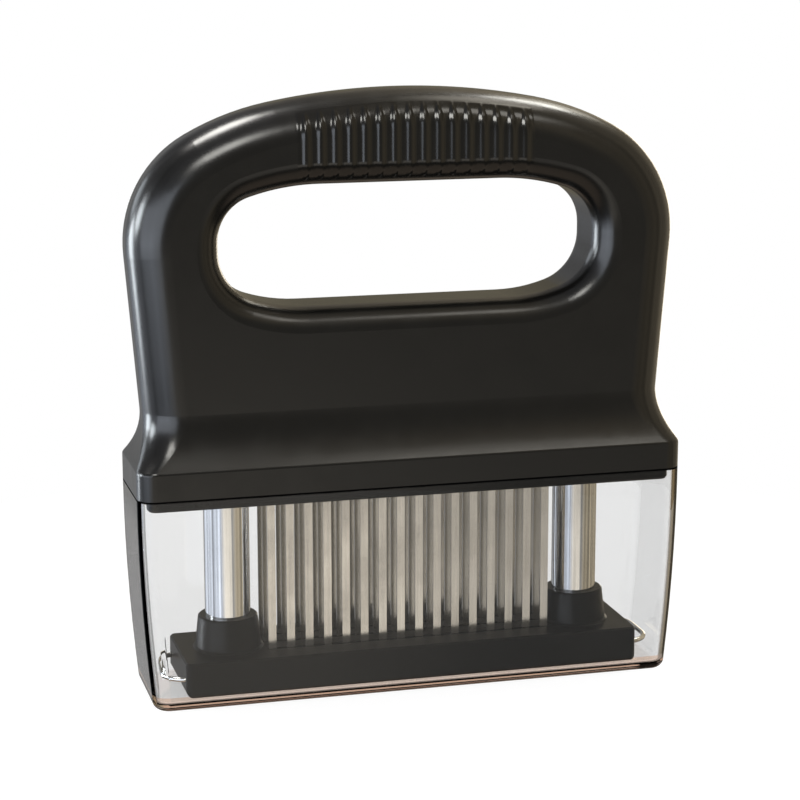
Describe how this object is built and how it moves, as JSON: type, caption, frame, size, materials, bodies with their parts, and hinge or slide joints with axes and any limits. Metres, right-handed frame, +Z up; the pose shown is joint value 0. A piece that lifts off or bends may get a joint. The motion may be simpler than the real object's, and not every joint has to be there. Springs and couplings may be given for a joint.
{
  "type": "blade meat tenderizer",
  "caption": "Hand-held meat tenderizer: loop grip over a flange, rows of thin upright blades, a spring-loaded guard plate on two columns, and a clear lift-off cover.",
  "frame": {"origin": "middle of the cover's underside, where the covered tool stands", "axes": "+X across the width to the right, +Y to the back, +Z up through the handle"},
  "size_m": [0.16, 0.0356, 0.1729],
  "materials": {
    "handle_plastic": "fine satin grain, near black",
    "base_plastic": "satin, near black",
    "guard_plastic": "satin, near black",
    "head_plastic": "satin black",
    "bush_plastic": "smooth natural acetal",
    "blade_steel": "ground along the blade",
    "retainer_steel": "rolled strip",
    "column_steel": "polished tube",
    "clip_steel": "bright drawn wire",
    "spring_steel": "drawn wire",
    "cover_clear": "clear, smooth on both sides"
  },
  "bodies": {
    "cover": {"cover": "cover_clear"},
    "tool": {"handle": "handle_plastic", "base_plate": "base_plastic", "blade_row_front": "blade_steel", "blade_row_middle": "blade_steel", "blade_row_rear": "blade_steel", "blade_head_front": "head_plastic", "blade_head_middle": "head_plastic", "blade_head_rear": "head_plastic", "blade_retainer_front": "retainer_steel", "blade_retainer_middle": "retainer_steel", "blade_retainer_rear": "retainer_steel", "column_bush_left": "bush_plastic", "column_bush_right": "bush_plastic", "spring_guide_left": "bush_plastic", "spring_guide_right": "bush_plastic", "spring_left": "spring_steel", "spring_right": "spring_steel"},
    "guard": {"guard_plate": "guard_plastic", "column_left": "column_steel", "column_right": "column_steel", "column_stop_left": "clip_steel", "column_stop_right": "clip_steel", "column_foot_left": "head_plastic", "column_foot_right": "head_plastic"},
    "clip_left": {"clip_left": "clip_steel"},
    "clip_right": {"clip_right": "clip_steel"}
  },
  "joints": [
    {"name": "lift_out", "type": "slide", "parent": "cover", "child": "tool", "axis": [0, 0, 1], "range_m": [0, 0.07]},
    {"name": "guard_press", "type": "slide", "parent": "tool", "child": "guard", "axis": [0, 0, 1], "range_m": [0, 0.03], "stiffness_N_per_m": 600, "springref_m": -0.015, "deforming": ["spring_left", "spring_right"]},
    {"name": "clip_left_pull", "type": "slide", "parent": "guard", "child": "clip_left", "axis": [-1, 0, 0], "range_m": [0, 0.0012]},
    {"name": "clip_right_pull", "type": "slide", "parent": "guard", "child": "clip_right", "axis": [1, 0, 0], "range_m": [0, 0.0012]}
  ]
}
